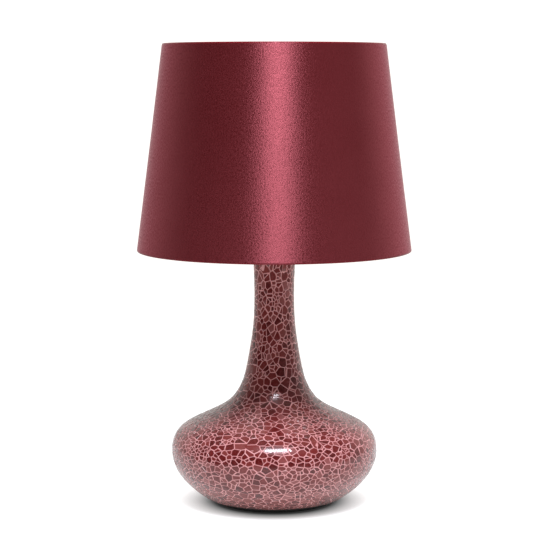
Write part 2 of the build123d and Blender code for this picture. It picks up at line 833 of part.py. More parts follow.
def hem(edge, side):
    """Fabric turned in over an edge wire and glued down on the inside."""
    inside = laminate + 2 * slip + 2 * shade_wire + slip
    base = edge + side * fabric_thickness
    wall = edge + side * hem_wall
    end = edge + side * hem_height
    with BuildPart() as fold:
        with BuildSketch(Plane.XZ):
            with BuildLine():
                Polyline(
                    (shade_radius(edge), edge),
                    (shade_radius(wall), wall),
                    (shade_radius(wall) - fabric_thickness, wall),
                    (shade_radius(base) - fabric_thickness, base),
                    (shade_radius(base) - inside, base),
                    (shade_radius(end) - inside, end),
                    (shade_radius(end) - inside - fabric_thickness, end),
                    (shade_radius(edge) - inside - fabric_thickness, edge),
                    close=True,
                )
            make_face()
        revolve(axis=Axis.Z)
        rims = fold.edges().filter_by(GeomType.CIRCLE).group_by(Axis.Z)
        fillet(rims[0] if side > 0 else rims[-1], hem_round)
    return fold.part


write(wire_ring(shade_top, -1), "top_ring")
write(wire_ring(shade_bottom, 1), "bottom_ring")
write(hem(shade_top, -1), "top_hem")

arm_start_radius, arm_start_z = wire_centre(shade_bottom, 1)
arm_end_z = seat_z - arm_wire + arm_weld
arm_end_radius = shoulder_radius + 1.7
arm_path = [
    (arm_start_radius - shade_wire, arm_start_z),
    (arm_start_radius - 9.0, arm_start_z + 2.0),
    (arm_end_radius + 11.0, arm_end_z),
    (arm_end_radius, arm_end_z),
]


def spider_arm(angle):
    """A wire from the bottom ring up to the underside of the fitter plate."""
    with BuildPart() as arm:
        with BuildLine(Plane.XZ) as path:
            FilletPolyline(*arm_path, radius=arm_bend)
        with BuildSketch(Plane(origin=path.line @ 0, z_dir=path.line % 0)):
            Circle(arm_wire)
        sweep(path=path.wires()[0])
    return arm.part.rotate(Axis.Z, angle)


with BuildPart() as bottom_hem:
    add(hem(shade_bottom, 1))
    with BuildSketch(Plane.XY.offset(shade_bottom + fabric_thickness)):
        with PolarLocations(arm_start_radius - 3.5, arm_count, start_angle=arm_first):
            Rectangle(6.0, 2 * arm_wire + 0.6)
    extrude(amount=hem_height, mode=Mode.SUBTRACT)
write(bottom_hem.part, "bottom_hem")

for number, angle in enumerate(arm_angles, start=1):
    write(spider_arm(angle), f"spider_arm_{number}")

write(washer(fitter_bore, fitter_radius, seat_z, fitter_thickness), "fitter_plate")

# ---- retaining ring --------------------------------------------------------------------------
ring_bore = thread_crest + 0.25
ring_crest = thread_root + 0.25
ring_thread_turns = (ring_height - 2.8) / outer_thread_pitch
with BuildPart() as shade_ring:
    with BuildSketch(Plane.XY.offset(ring_bottom)):
        Circle(ring_radius)
        Circle(ring_bore, mode=Mode.SUBTRACT)
    extrude(amount=ring_height)
    rims = shade_ring.edges().filter_by(GeomType.CIRCLE)
    chamfer(rims.group_by(SortBy.RADIUS)[-1], length=0.8)
    with BuildSketch(Plane.XY.offset(ring_bottom)):
        with PolarLocations(ring_radius + 0.15, ring_grooves):
            Circle(groove_radius)
    extrude(amount=ring_height, mode=Mode.SUBTRACT)
    add(thread(ring_bore, ring_crest, outer_thread_pitch, ring_bottom + 1.4, ring_thread_turns))
write(shade_ring.part, "shade_ring")
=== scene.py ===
import math
import random
from collections import namedtuple

import bpy
import numpy as np
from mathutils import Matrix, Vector
from mathutils.kdtree import KDTree


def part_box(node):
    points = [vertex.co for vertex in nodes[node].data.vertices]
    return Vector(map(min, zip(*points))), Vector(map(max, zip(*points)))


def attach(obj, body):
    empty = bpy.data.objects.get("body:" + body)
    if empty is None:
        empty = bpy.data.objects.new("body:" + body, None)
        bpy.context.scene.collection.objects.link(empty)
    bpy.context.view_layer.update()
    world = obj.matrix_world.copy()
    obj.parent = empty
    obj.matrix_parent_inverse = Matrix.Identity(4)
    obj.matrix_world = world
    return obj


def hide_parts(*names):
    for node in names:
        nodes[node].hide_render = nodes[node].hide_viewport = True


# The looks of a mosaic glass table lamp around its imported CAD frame. Metres, +Z up, -Y front.

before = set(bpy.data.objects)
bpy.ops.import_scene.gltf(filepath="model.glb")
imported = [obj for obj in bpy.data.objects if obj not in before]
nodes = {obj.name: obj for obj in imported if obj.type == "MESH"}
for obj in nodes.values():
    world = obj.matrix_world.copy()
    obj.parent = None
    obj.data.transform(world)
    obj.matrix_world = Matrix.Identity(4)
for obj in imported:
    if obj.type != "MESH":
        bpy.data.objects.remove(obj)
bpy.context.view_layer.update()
MM = 0.001
TURN = 2 * math.pi

# Mosaic: shards, cracks and grout
SEEDS_TRIED = 7600
SHARD_MIX = (0.45, 0.6, 0.8, 1.0, 1.3, 1.8)  # sizes of the shards, as shares of the mean size
NECK_SHARD = 3.2 * MM  # mean size on the neck
BELLY_SHARD = 4.3 * MM  # mean size below it
NECK_FROM = 0.115  # the height where the neck begins
CLOSEST = 0.26  # least distance between two seeds, as a share of the sum of their sizes
EVENNESS = 14  # the smaller it is, the more room a large seed takes from a small one
SEARCH_BOX = 0.06  # side of the boxes in which near seeds are looked for, in map units
NEIGHBOURS = 20  # the nearest seeds that a shard is cut against
CRACK = 0.34  # half the usual width of a crack, in mm
CRACK_SPREAD = (0.55, 1.45)  # shares of it, from crack to crack
RIM_GAP = 0.3  # between the shards and the skin's two ends, in mm
SHORTEST_SIDE = 0.3  # shorter sides of a shard are left out, in mm
CORNER_CUT = 0.12  # in mm, and at most a tenth of the side
LEAST_AREA = 0.5  # smaller shards are left out, in mm2
SHARD_MIDDLE = -0.02  # the heights of a shard's parts over the CAD's skin, in mm
SHARD_TOP = -0.03
SHARD_EDGE = -0.11
SHARD_BACK = -0.75
SHARD_BEVEL = 0.18  # from a shard's edge to its top, in mm
SHARD_TILT = 0.013  # usual slope of a shard against the glass
SHARD_DROP = 0.04  # the deepest that a shard sits below its neighbours, in mm
GROUT_TOP = -0.20 * MM  # below the CAD's skin
GROUT_BACK = -1.25 * MM
GROUT_WAVES = 0.03 * MM
MAP_SAMPLES = 700
# Pairs of height and stretch: above 1 the shards are wider than tall, below 1 taller than wide
MAP_STRETCH = ((0.0, 1.25), (0.060, 1.25), (0.095, 1.0), (0.130, 0.78), (0.210, 0.78))

# Shade: cloth over the liner, and its edges rolled in over the hoops
THREAD_PITCH = 0.32 * MM
HEM_CLOTH = 0.45 * MM
HEM_LIP = 1.2 * MM
HEM_ROLL = 0.8 * MM  # radius of the rolled edge
HEM_DEPTH = 4.05 * MM  # from the shade's outside to the flap inside


# ---------------------------------------------------------------------------------------------
# Small tools for meshes
# ---------------------------------------------------------------------------------------------
def new_piece(name, verts, faces, smooth=True):
    """A mesh object from points and faces, linked into the scene."""
    mesh = bpy.data.meshes.new(name)
    mesh.from_pydata([tuple(v) for v in verts], [], faces)
    mesh.validate()
    mesh.polygons.foreach_set("use_smooth", [smooth] * len(mesh.polygons))
    piece = bpy.data.objects.new(name, mesh)
    bpy.context.scene.collection.objects.link(piece)
    return piece


def dress(piece, material, body, node):
    """Gives a new piece its material, its body and the CAD node that it stands for."""
    piece.data.materials.append(material)
    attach(piece, body)
    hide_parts(node)


def ring_mesh(name, section, segments, shape, start=0.0, sweep=TURN):
    """Turns a closed outline of (radius, height) points about Z. shape(radius, height, angle)
    moves each point. A sweep of less than a full turn gets end caps."""
    full = abs(sweep - TURN) < 1e-9
    columns = segments if full else segments + 1
    count = len(section)
    verts = []
    for i in range(columns):
        angle = start + sweep * i / segments
        for radius, height in section:
            radius, height = shape(radius, height, angle)
            verts.append((radius * math.cos(angle), radius * math.sin(angle), height))
    faces = []
    for i in range(segments):
        here, there = i * count, ((i + 1) % columns) * count
        for j in range(count):
            k = (j + 1) % count
            faces.append((here + j, there + j, there + k, here + k))
    if not full:
        faces.append(tuple(range(count)))
        faces.append(tuple(reversed(range((columns - 1) * count, columns * count))))
    return new_piece(name, verts, faces)


def offset_section(line, thickness, inward):
    """A thin closed outline along a line of points, thickened to one side."""
    other = []
    for i, (x, y) in enumerate(line):
        x0, y0 = line[max(0, i - 1)]
        x1, y1 = line[min(len(line) - 1, i + 1)]
        dx, dy = x1 - x0, y1 - y0
        size = math.hypot(dx, dy)
        other.append((x - inward * dy / size * thickness, y + inward * dx / size * thickness))
    return line + other[::-1]


def wave(angle, seed, lowest, highest):
    """A smooth periodic wobble of about 1 in size, different for each seed."""
    draw = random.Random(seed)
    total = 0.0
    for k in range(lowest, highest):
        total += draw.uniform(-1, 1) * math.sin(k * angle + draw.uniform(0, TURN)) / math.sqrt(k)
    return total


# ---------------------------------------------------------------------------------------------
# Small tools for materials
# ---------------------------------------------------------------------------------------------
class Shader:
    """A material's node tree, with short calls for adding nodes and links."""

    def __init__(self, name):
        self.material = bpy.data.materials.new(name)
        self.material.use_nodes = True
        self.tree = self.material.node_tree
        self.bsdf = self.tree.nodes["Principled BSDF"]

    def set(self, **values):
        """Sets sockets of the surface shader, with _ for a space in their names."""
        for key, value in values.items():
            self.plug(self.bsdf.inputs[key.replace("_", " ")], value)

    def plug(self, socket, value):
        """Links or sets one socket."""
        if isinstance(value, bpy.types.NodeSocket):
            self.tree.links.new(value, socket)
        elif isinstance(value, tuple) and len(value) == 3 and socket.type == "RGBA":
            socket.default_value = (*value, 1.0)
        else:
            socket.default_value = value

    def node(self, kind, inputs, **props):
        made = self.tree.nodes.new(kind)
        for key, value in props.items():
            setattr(made, key, value)
        for key, value in inputs.items():
            self.plug(made.inputs[key], value)
        return made

    def calc(self, operation, a, b=0.0):
        return self.node("ShaderNodeMath", {0: a, 1: b}, operation=operation).outputs[0]

    def place(self):
        """The point in the object's own space, which is the lamp's frame at rest."""
        return self.node("ShaderNodeTexCoord", {}).outputs["Object"]

    def angle_and_height(self):
        """The angle about Z and the height of the point, as separate values."""
        x, y, z = self.node("ShaderNodeSeparateXYZ", {0: self.place()}).outputs
        return self.calc("ARCTAN2", y, x), z

    def vector(self, x, y, z):
        return self.node("ShaderNodeCombineXYZ", {0: x, 1: y, 2: z}).outputs[0]

    def scaled(self, scale, vector=None):
        inputs = {"Vector": vector or self.place(), "Scale": scale}
        return self.node("ShaderNodeMapping", inputs).outputs[0]

    def noise(self, scale, detail=3.0, rough=0.5, vector=None):
        """Noise of about scale features in a metre."""
        inputs = {
            "Vector": vector or self.place(),
            "Scale": scale,
            "Detail": detail,
            "Roughness": rough,
        }
        return self.node("ShaderNodeTexNoise", inputs).outputs["Fac"]

    def streaks(self, scale, detail=3.0, rough=0.5, vector=None):
        """Noise with its own scale on each axis: drawn out along the axis of the smallest one."""
        return self.noise(1.0, detail, rough, self.scaled(scale, vector))

    def cells(self, scale):
        """The distance from the nearest of many scattered points."""
        inputs = {"Vector": self.place(), "Scale": scale}
        return self.node("ShaderNodeTexVoronoi", inputs, feature="F1").outputs["Distance"]

    def ramp(self, value, stops):
        """Colours or grey levels at places from 0 to 1."""
        made = self.node("ShaderNodeValToRGB", {"Fac": value})
        elements = made.color_ramp.elements
        while len(elements) < len(stops):
            elements.new(0.5)
        for element, (position, colour) in zip(elements, stops):
            element.position = position
            if not isinstance(colour, tuple):
                colour = (colour, colour, colour)
            element.color = (*colour, 1.0)
        return made.outputs[0]

    def blend(self, colour, other, pattern, start, end):
        """Mixes another colour in by a pattern. start and end are (place, share) pairs."""
        made = self.node("ShaderNodeMix", {}, data_type="RGBA")
        self.plug(made.inputs["Factor"], self.ramp(pattern, [start, end]))
        self.plug(made.inputs["A"], colour)
        self.plug(made.inputs["B"], other)
        return made.outputs["Result"]

    def bump(self, height, strength, distance, below=None):
        inputs = {"Height": height, "Strength": strength, "Distance": distance}
        if below:
            inputs["Normal"] = below
        return self.node("ShaderNodeBump", inputs).outputs[0]


# ---------------------------------------------------------------------------------------------
# Materials
# ---------------------------------------------------------------------------------------------
def shard_glass():
    """Gloss burgundy glass, a little different from shard to shard, under a clear coat."""
    s = Shader("shard_glass")
    tone = s.node("ShaderNodeAttribute", {}, attribute_name="tone").outputs["Fac"]
    colour = s.ramp(tone, [
        (0.0, (0.065, 0.003, 0.003)),
        (0.35, (0.105, 0.006, 0.006)),
        (0.65, (0.152, 0.016, 0.015)),
        (0.85, (0.184, 0.036, 0.032)),
        (1.0, (0.262, 0.080, 0.078)),
    ])
    cloud = s.noise(420.0, 4.0, 0.6)
    colour = s.blend(colour, (0.205, 0.036, 0.036), cloud, (0.42, 0.0), (0.72, 0.55))
    seeds = s.cells(1500.0)
    colour = s.blend(colour, (0.38, 0.15, 0.15), seeds, (0.03, 0.5), (0.10, 0.0))
    height = s.noise(260.0, 2.0, 0.4)
    s.set(
        Base_Color=colour,
        Roughness=s.ramp(s.noise(900.0), [(0.3, 0.17), (0.75, 0.31)]),
        IOR=1.5,
        Specular_IOR_Level=0.35,
        Coat_Weight=0.40,
        Coat_Roughness=0.12,
        Normal=s.bump(height, 0.25, 0.12 * MM),
    )
    return s.material


def grout():
    """Pale pink grout under the same clear coat, with fine grain and a few darker stains."""
    s = Shader("grout")
    stain = s.noise(140.0, 4.0, 0.6)
    colour = s.ramp(stain, [
        (0.25, (0.46, 0.17, 0.17)),
        (0.50, (0.64, 0.28, 0.28)),
        (0.78, (0.74, 0.38, 0.38)),
    ])
    grain = s.noise(2600.0, 3.0, 0.7)
    s.set(
        Base_Color=colour,
        Roughness=0.45,
        Specular_IOR_Level=0.35,
        Coat_Weight=0.6,
        Coat_Roughness=0.12,
        Normal=s.bump(grain, 0.5, 0.08 * MM),
    )
    return s.material


def satin(name, gleam):
    """Burgundy satin: a fine weave whose long floats give a tinted, stretched gloss. A smaller
    gleam is for cloth that is folded over, where the gloss is broken up."""
    s = Shader(name)
    angle, z = s.angle_and_height()
    cloth = s.vector(s.calc("MULTIPLY", angle, 0.1), z, 0.0)
    threads = s.node(
        "ShaderNodeTexWave",
        {"Vector": cloth, "Scale": 1 / (TURN * THREAD_PITCH), "Distortion": 1.2, "Detail": 1.0},
        bands_direction="Y",
    ).outputs["Fac"]
    slubs = s.streaks((4500.0, 1300.0, 1.0), 3.0, 0.65, cloth)
    floats = s.streaks((4200.0, 700.0, 1.0), 2.0, 0.6, cloth)
    grain = s.streaks((800.0, 650.0, 1.0), 1.0, 0.5, cloth)
    cloudy = s.noise(28.0, 3.0, 0.5, cloth)
    deep, pale, faded = (0.138, 0.0075, 0.0102), (0.190, 0.0130, 0.0170), (0.198, 0.020, 0.025)
    colour = s.blend(deep, pale, slubs, (0.3, 0.0), (0.8, 1.0))
    colour = s.blend(colour, faded, cloudy, (0.35, 0.0), (0.7, 0.3))
    weave = s.bump(threads, 0.10, 0.05 * MM)
    weave = s.bump(slubs, 0.5, 0.05 * MM, weave)
    weave = s.bump(floats, 0.45, 0.08 * MM, weave)
    weave = s.bump(grain, 1.0, 0.09 * MM, weave)
    s.set(
        Base_Color=colour,
        Roughness=s.ramp(grain, [(0.34, 0.31), (0.66, 0.57)]),
        Metallic=0.6 * gleam,
        IOR=1.9,
        Specular_IOR_Level=gleam,
        Specular_Tint=(1.0, 0.50, 0.59),
        Anisotropic=0.95,
        Anisotropic_Rotation=0.25,
        Tangent=s.node("ShaderNodeTangent", {}, direction_type="RADIAL", axis="Z").outputs[0],
        Normal=weave,
    )
    return s.material


def lining():
    """Stiff white backing of the shade, faintly fibrous and yellowed."""
    s = Shader("lining")
    angle, z = s.angle_and_height()
    around, up = s.calc("MULTIPLY", angle, 60.0), s.calc("MULTIPLY", z, 900.0)
    fibres = s.noise(1.0, 4.0, 0.6, s.vector(around, up, 0.0))
    aged = s.noise(18.0)
    s.set(
        Base_Color=s.blend((0.80, 0.77, 0.71), (0.74, 0.68, 0.58), aged, (0.35, 0.0), (0.75, 1.0)),
        Roughness=0.62,
        Normal=s.bump(fibres, 0.25, 0.08 * MM),
    )
    return s.material


def enamel(name, colour, dark, roughness):
    """Sprayed enamel with orange peel, dust and thin scratches down to the metal."""
    s = Shader(name)
    peel = s.noise(700.0, 2.0, 0.4)
    patch = s.noise(60.0, 5.0, 0.65)
    scratch = s.streaks((90.0, 2200.0, 2200.0), 2.0)
    tint = s.blend(colour, dark, patch, (0.35, 0.0), (0.8, 1.0))
    tint = s.blend(tint, (0.35, 0.34, 0.33), scratch, (0.735, 0.0), (0.76, 0.6))
    s.set(
        Base_Color=tint,
        Roughness=s.ramp(patch, [(0.3, roughness), (0.8, roughness + 0.18)]),
        Coat_Weight=0.25,
        Coat_Roughness=0.12,
        Normal=s.bump(peel, 0.25, 0.05 * MM),
    )
    return s.material


def felt():
    """Pressed black felt with a mat of pale stray fibres."""
    s = Shader("felt")
    mat = s.noise(1100.0, 6.0, 0.75)
    strays = s.streaks((300.0, 2400.0, 1500.0))
    colour = s.blend((0.010, 0.010, 0.011), (0.030, 0.029, 0.031), mat, (0.35, 0.0), (0.7, 1.0))
    colour = s.blend(colour, (0.10, 0.095, 0.095), strays, (0.66, 0.0), (0.72, 0.5))
    s.set(
        Base_Color=colour,
        Roughness=0.95,
        Sheen_Weight=0.5,
        Sheen_Roughness=0.6,
        Normal=s.bump(mat, 0.9, 0.35 * MM),
    )
    return s.material


def rubber(name, colour):
    """Moulded rubber or foam with fine pores and a dusty bloom."""
    s = Shader(name)
    pores = s.ramp(s.cells(1500.0), [(0.05, 0.0), (0.4, 1.0)])
    dust = s.noise(90.0, 4.0, 0.6)
    s.set(
        Base_Color=s.blend(colour, (0.16, 0.155, 0.15), dust, (0.4, 0.0), (0.8, 0.5)),
        Roughness=s.ramp(dust, [(0.3, 0.62), (0.8, 0.85)]),
        Normal=s.bump(pores, 0.35, 0.12 * MM),
    )
    return s.material


def plated(name, colour, tarnish, roughness):
    """Plated or turned metal, with fine turning lines and a little tarnish."""
    s = Shader(name)
    lines = s.streaks((60.0, 60.0, 2600.0), 3.0, 0.6)
    bloom = s.noise(110.0, 5.0, 0.6)
    tint = s.blend(colour, tarnish, bloom, (0.42, 0.0), (0.78, 0.85))
    tint = s.blend(tint, tarnish, lines, (0.35, 0.0), (0.7, 0.18))
    s.set(
        Base_Color=tint,
        Metallic=1.0,
        Roughness=s.ramp(lines, [(0.3, roughness), (0.8, roughness + 0.16)]),
        Normal=s.bump(lines, 0.12, 0.04 * MM),
    )
    return s.material


def threaded(name, colour, tarnish, pitch):
    """Plated steel rod with a rolled thread of the given pitch about Z."""
    s = Shader(name)
    angle, z = s.angle_and_height()
    turns = s.calc("SUBTRACT", s.calc("DIVIDE", z, pitch), s.calc("DIVIDE", angle, TURN))
    ridge = s.calc("ABSOLUTE", s.calc("SUBTRACT", s.calc("FRACT", turns), 0.5))
    bloom = s.noise(150.0, 5.0, 0.6)
    tint = s.blend(colour, tarnish, ridge, (0.12, 0.75), (0.30, 0.0))
    tint = s.blend(tint, tarnish, bloom, (0.45, 0.0), (0.8, 0.6))
    s.set(
        Base_Color=tint,
        Metallic=1.0,
        Roughness=s.ramp(bloom, [(0.3, 0.30), (0.8, 0.5)]),
        Normal=s.bump(ridge, 0.9, 0.6 * MM),
    )
    return s.material


def moulded(name, colour, fleck, roughness):
    """Moulded plastic or phenolic: faint flow clouds, dust and fine scuffs."""
    s = Shader(name)
    flow = s.noise(55.0, 4.0, 0.6)
    dust = s.noise(900.0, 3.0, 0.6)
    scuff = s.streaks((1500.0, 180.0, 1500.0))
    tint = s.blend(colour, fleck, flow, (0.3, 0.0), (0.75, 0.7))
    tint = s.blend(tint, (0.22, 0.20, 0.18), scuff, (0.70, 0.0), (0.76, 0.35))
    s.set(
        Base_Color=tint,
        Roughness=s.ramp(dust, [(0.3, roughness), (0.8, roughness + 0.2)]),
        Normal=s.bump(dust, 0.18, 0.05 * MM),
    )
    return s.material


def clear_glass(name, tint, waviness):
    """Blown clear glass with drawn waves and a few seeds."""
    s = Shader(name)
    drawn = s.streaks((45.0, 45.0, 14.0), 2.0, 0.4)
    seeds = s.ramp(s.cells(260.0), [(0.02, 1.0), (0.05, 0.0)])
    s.set(
        Base_Color=tint,
        Roughness=s.ramp(s.noise(50.0, 4.0), [(0.4, 0.0), (0.8, 0.05)]),
        IOR=1.5,
        Transmission_Weight=1.0,
        Normal=s.bump(seeds, 0.3, 0.1 * MM, s.bump(drawn, waviness, 0.5 * MM)),
    )
    return s.material


def phosphor():
    """Yellow silicone over a row of LED chips."""
    s = Shader("phosphor")
    height = s.node("ShaderNodeSeparateXYZ", {0: s.place()}).outputs["Z"]
    chips = s.calc("PINGPONG", s.calc("MULTIPLY", height, 1000.0), 0.7)
    grain = s.noise(2500.0)
    colour = s.blend((0.86, 0.52, 0.10), (0.93, 0.66, 0.20), chips, (0.35, 0.0), (0.65, 1.0))
    s.set(
        Base_Color=s.blend(colour, (0.80, 0.44, 0.07), grain, (0.4, 0.0), (0.7, 0.35)),
        Roughness=0.42,
        Subsurface_Weight=0.15,
        Normal=s.bump(chips, 0.2, 0.1 * MM),
    )
    return s.material


def circuit_board():
    """Green lacquered board with copper tracks showing through."""
    s = Shader("circuit_board")
    tracks = s.node(
        "ShaderNodeTexBrick",
        {
            "Vector": s.scaled((420.0, 420.0, 420.0)),
            "Scale": 1.0,
            "Mortar Size": 0.08,
        },
    ).outputs["Fac"]
    grain = s.noise(1300.0)
    colour = s.ramp(tracks, [(0.0, (0.010, 0.090, 0.030)), (1.0, (0.10, 0.20, 0.05))])
    s.set(
        Base_Color=s.blend(colour, (0.008, 0.060, 0.022), grain, (0.4, 0.0), (0.7, 0.4)),
        Roughness=0.3,
        Coat_Weight=0.5,
        Normal=s.bump(tracks, 0.3, 0.06 * MM),
    )
    return s.material


# ---------------------------------------------------------------------------------------------
# Mosaic: irregular shards of mixed sizes, worked out in a map of the vessel's skin
# ---------------------------------------------------------------------------------------------
Spot = namedtuple("Spot", "radius height out_r out_z stretch")
Seed = namedtuple("Seed", "across up size")


class SkinMap:
    """A map of the vessel's outside. Across is the angle about Z; up is a height that keeps the
    map's scale the same both ways, apart from a chosen stretch. So a straight-sided cell of the
    map is a straight-sided shard on the glass."""

    def __init__(self, stretch):
        radius, height = self.profile()
        along = np.concatenate([[0.0], np.cumsum(np.hypot(np.diff(radius), np.diff(height)))])
        self.s = np.linspace(0.0, along[-1], MAP_SAMPLES)
        self.r = self.smoothed(np.interp(self.s, along, radius))
        self.z = self.smoothed(np.interp(self.s, along, height))
        self.dr = np.gradient(self.r, self.s)
        self.dz = np.gradient(self.z, self.s)
        heights, shares = zip(*stretch)
        self.stretch = np.interp(self.z, heights, shares)
        rate = self.stretch / self.r
        rise = 0.5 * (rate[1:] + rate[:-1]) * np.diff(self.s)
        self.up = np.concatenate([[0.0], np.cumsum(rise)])

    @staticmethod
    def profile():
        """Radius and height along the outside of the CAD's mosaic, from the bottom to the top."""
        vertices = nodes["mosaic_skin"].data.vertices
        co = np.array([v.co for v in vertices])
        normal = np.array([v.normal for v in vertices])
        radius, height = np.hypot(co[:, 0], co[:, 1]), co[:, 2]
        outward = (normal[:, 0] * co[:, 0] + normal[:, 1] * co[:, 1]) / radius
        outside = (outward > 0.05) & (np.abs(normal[:, 2]) < 0.97)
        order = np.argsort(height[outside])
        z, r = height[outside][order], radius[outside][order]
        bins = np.searchsorted(z, np.arange(z[0], z[-1], 0.5 * MM))
        spans = [(a, b) for a, b in zip(bins, bins[1:]) if b > a]
        return np.array([r[a:b].mean() for a, b in spans]), np.array([z[a:b].mean() for a, b in spans])

    @staticmethod
    def smoothed(values, reach=6):
        """The values blurred over a few samples, with both ends kept in place."""
        kernel = np.exp(-0.5 * (np.arange(-2 * reach, 2 * reach + 1) / reach) ** 2)
        kernel /= kernel.sum()
        lead = values[0] - (values[1 : 2 * reach + 1] - values[0])[::-1]
        tail = values[-1] - (values[-2 * reach - 1 : -1] - values[-1])[::-1]
        return np.convolve(np.concatenate([lead, values, tail]), kernel, "valid")

    def look(self, values, up):
        return float(np.interp(up, self.up, values))

    def at(self, up):
        """Radius, height, the glass's outward direction and the stretch at a map height."""
        dr, dz = self.look(self.dr, up), self.look(self.dz, up)
        size = math.hypot(dr, dz)
        radius, height = self.look(self.r, up), self.look(self.z, up)
        return Spot(radius, height, dz / size, -dr / size, self.look(self.stretch, up))

    def point(self, across, up, lift):
        """The place on the glass, raised by lift along the glass's outward direction."""
        spot = self.at(up)
        radius = spot.radius + lift * spot.out_r
        return (radius * math.cos(across), radius * math.sin(across), spot.height + lift * spot.out_z)


def clipped(polygon, a, b, limit):
    """The part of a polygon where a * x + b * y <= limit."""
    kept = []
    for i, (x1, y1) in enumerate(polygon):
        x0, y0 = polygon[i - 1]
        d0, d1 = a * x0 + b * y0 - limit, a * x1 + b * y1 - limit
        if (d0 <= 0) != (d1 <= 0):
            t = d0 / (d0 - d1)
            kept.append((x0 + t * (x1 - x0), y0 + t * (y1 - y0)))
        if d1 <= 0:
            kept.append((x1, y1))
    return kept


def area_of(polygon):
    total = 0.0
    for i, (x, y) in enumerate(polygon):
        x0, y0 = polygon[i - 1]
        total += x0 * y - x * y0
    return 0.5 * total


def parting(one, other):
    """The half-plane (a, b, limit) on one's side of the crack between two seeds. The larger
    seed gets the larger share."""
    dx, dy = other.across - one.across, other.up - one.up
    gap = math.hypot(dx, dy)
    a, b = dx / gap, dy / gap
    middle = a * (one.across + other.across) / 2 + b * (one.up + other.up) / 2
    return a, b, middle + (one.size**2 - other.size**2) / (EVENNESS * gap)


def random_seed(skin, area, draw):
    """A seed anywhere on the glass, with sizes that also change slowly from patch to patch."""
    up = float(np.interp(draw.random() * area[-1], area, skin.up))
    across = TURN * draw.random()
    spot = skin.at(up)
    z = spot.height
    patch = 0.5 + 0.5 * math.sin(3 * across + 60 * z) * math.sin(2 * across - 95 * z + 1.0)
    mean = NECK_SHARD if z > NECK_FROM else BELLY_SHARD
    size = mean * draw.choice(SHARD_MIX) * (0.7 + 0.6 * patch)
    return Seed(across, up, size / spot.radius)


def crowded(seed, boxes):
    """Whether a seed is too near to one that is already in the boxes."""
    column, row = int(seed.across / SEARCH_BOX), int(seed.up / SEARCH_BOX)
    reach = int(seed.size / SEARCH_BOX) + 2
    for i in range(column - reach, column + reach + 1):
        for j in range(row - reach, row + reach + 1):
            for other in boxes.get((i, j), ()):
                gap = math.hypot(other.across - seed.across, other.up - seed.up)
                if gap < CLOSEST * (other.size + seed.size):
                    return True
    return False


def scatter_seeds(skin, draw):
    """Seeds in map units, spread evenly over the glass, the big ones first."""
    area = np.concatenate([[0.0], np.cumsum(skin.r[1:] * np.diff(skin.s))])
    wanted = [random_seed(skin, area, draw) for _ in range(SEEDS_TRIED)]
    wanted.sort(key=lambda seed: -seed.size * skin.at(seed.up).radius)
    boxes = {}
    kept = []
    for seed in wanted:
        if not crowded(seed, boxes):
            kept.append(seed)
            row = int(seed.up / SEARCH_BOX)
            for turn in (-TURN, 0.0, TURN):
                copy = seed._replace(across=seed.across + turn)
                boxes.setdefault((int(copy.across // SEARCH_BOX), row), []).append(copy)
    return kept


def shard_walls(skin, draw):
    """Yields each seed with its walls, each a half-plane with half its crack's width in mm, and
    the shard's tone."""
    seeds = scatter_seeds(skin, draw)
    wrapped = [
        seed._replace(across=seed.across + turn) for turn in (-TURN, 0.0, TURN) for seed in seeds
    ]
    tree = KDTree(len(wrapped))
    for i, seed in enumerate(wrapped):
        tree.insert((seed.across, seed.up, 0), i)
    tree.balance()
    edges = [(0, -1, -skin.up[0]), (0, 1, skin.up[-1])]
    for seed in seeds:
        walls = [(edge, RIM_GAP) for edge in edges]
        for _, index, gap in tree.find_n((seed.across, seed.up, 0), NEIGHBOURS):
            if gap > 1e-9:
                half_width = CRACK * draw.uniform(*CRACK_SPREAD)
                walls.append((parting(seed, wrapped[index]), half_width))
        yield seed, walls, draw.random()


def without_short_sides(polygon):
    """The polygon without the corners that are too close to the corner before them."""
    kept = []
    for corner in polygon:
        if not kept or math.dist(corner, kept[-1]) > SHORTEST_SIDE:
            kept.append(corner)
    while len(kept) > 2 and math.dist(kept[0], kept[-1]) < SHORTEST_SIDE:
        kept.pop()
    return kept


def with_cut_corners(polygon):
    """The polygon with a little cut off each corner."""
    outline = []
    for i, (x, y) in enumerate(polygon):
        for nx, ny in (polygon[i - 1], polygon[(i + 1) % len(polygon)]):
            share = min(0.10, CORNER_CUT / math.hypot(nx - x, ny - y))
            outline.append((x + share * (nx - x), y + share * (ny - y)))
    return outline


def cut_shard(skin, seed, walls):
    """The shard's outline in mm about its seed, or nothing if the shard is too small."""
    spot = skin.at(seed.up)
    across_mm, up_mm = spot.radius / MM, spot.radius / spot.stretch / MM
    reach = 9.0
    shape = [(-reach, -reach), (reach, -reach), (reach, reach), (-reach, reach)]
    for (a, b, limit), gap in walls:
        a_mm, b_mm = a / across_mm, b / up_mm
        unit = math.hypot(a_mm, b_mm)
        limit_mm = (limit - a * seed.across - b * seed.up) / unit
        shape = clipped(shape, a_mm / unit, b_mm / unit, limit_mm - gap)
        if len(shape) < 3:
            return None
    shape = without_short_sides(shape)
    if len(shape) < 3 or area_of(shape) < LEAST_AREA:
        return None
    return with_cut_corners(shape)


